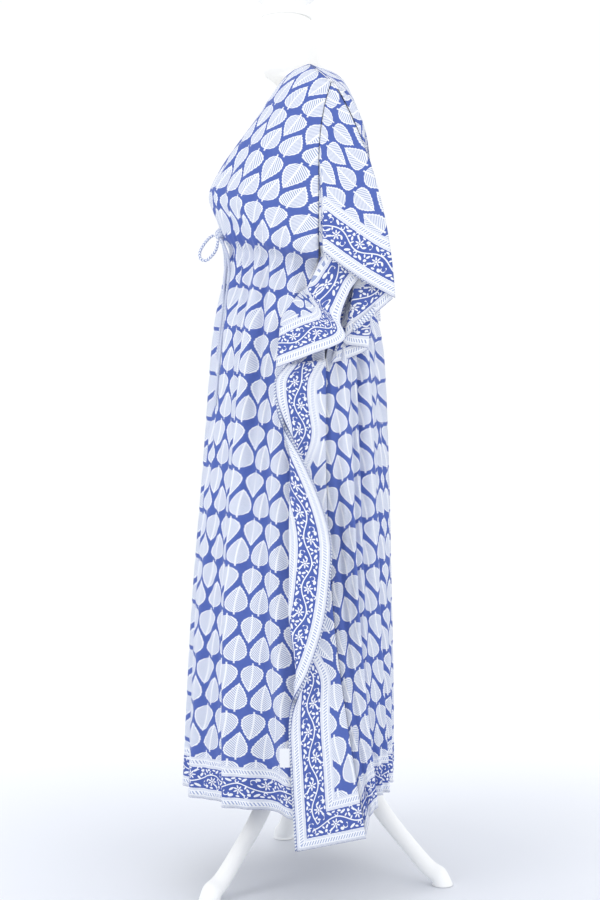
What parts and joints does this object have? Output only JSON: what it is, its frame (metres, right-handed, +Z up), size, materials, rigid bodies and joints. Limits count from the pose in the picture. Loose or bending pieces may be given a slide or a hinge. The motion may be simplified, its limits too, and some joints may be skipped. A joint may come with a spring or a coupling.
{
  "type": "kaftan on a dress form",
  "caption": "Full-length printed cotton kaftan with V neck, drawstring waist and free side flaps, on a limbless dress form with a three-legged stand.",
  "frame": {"origin": "on the floor under the middle of the object's box, measured without the drawstring", "axes": "+Z up, the wearer's front towards -Y, the wearer's left side towards +X"},
  "size_m": [0.5066, 0.4524, 1.581],
  "materials": {
    "printed_cotton": "plain-woven cotton printed with blue leaves and a blue flower border",
    "hatched_cotton": "plain-woven cotton with a fine grey-blue hatch",
    "label_cotton": "bare white woven tape",
    "form_cover": "smooth white jersey cover",
    "painted_wood": "white satin paint"
  },
  "bodies": {
    "root": {"front": "printed_cotton", "back": "printed_cotton", "wing_front_left": "printed_cotton", "wing_front_right": "printed_cotton", "wing_back_left": "printed_cotton", "wing_back_right": "printed_cotton", "flap_front_left": "printed_cotton", "flap_front_right": "printed_cotton", "flap_back_left": "printed_cotton", "flap_back_right": "printed_cotton", "tape_wing_front_left": "hatched_cotton", "tape_wing_front_right": "hatched_cotton", "tape_wing_back_left": "hatched_cotton", "tape_wing_back_right": "hatched_cotton", "tape_flap_front_left": "hatched_cotton", "tape_flap_front_right": "hatched_cotton", "tape_flap_back_left": "hatched_cotton", "tape_flap_back_right": "hatched_cotton", "label": "label_cotton", "drawstring_knot": "hatched_cotton", "drawstring_loop_front": "hatched_cotton", "drawstring_loop_hanging": "hatched_cotton", "drawstring_tail_a": "hatched_cotton", "drawstring_tail_b": "hatched_cotton", "form_torso": "form_cover", "form_cap": "painted_wood", "pole": "painted_wood", "hub": "painted_wood", "leg_1": "painted_wood", "leg_2": "painted_wood", "leg_3": "painted_wood"}
  },
  "joints": []
}
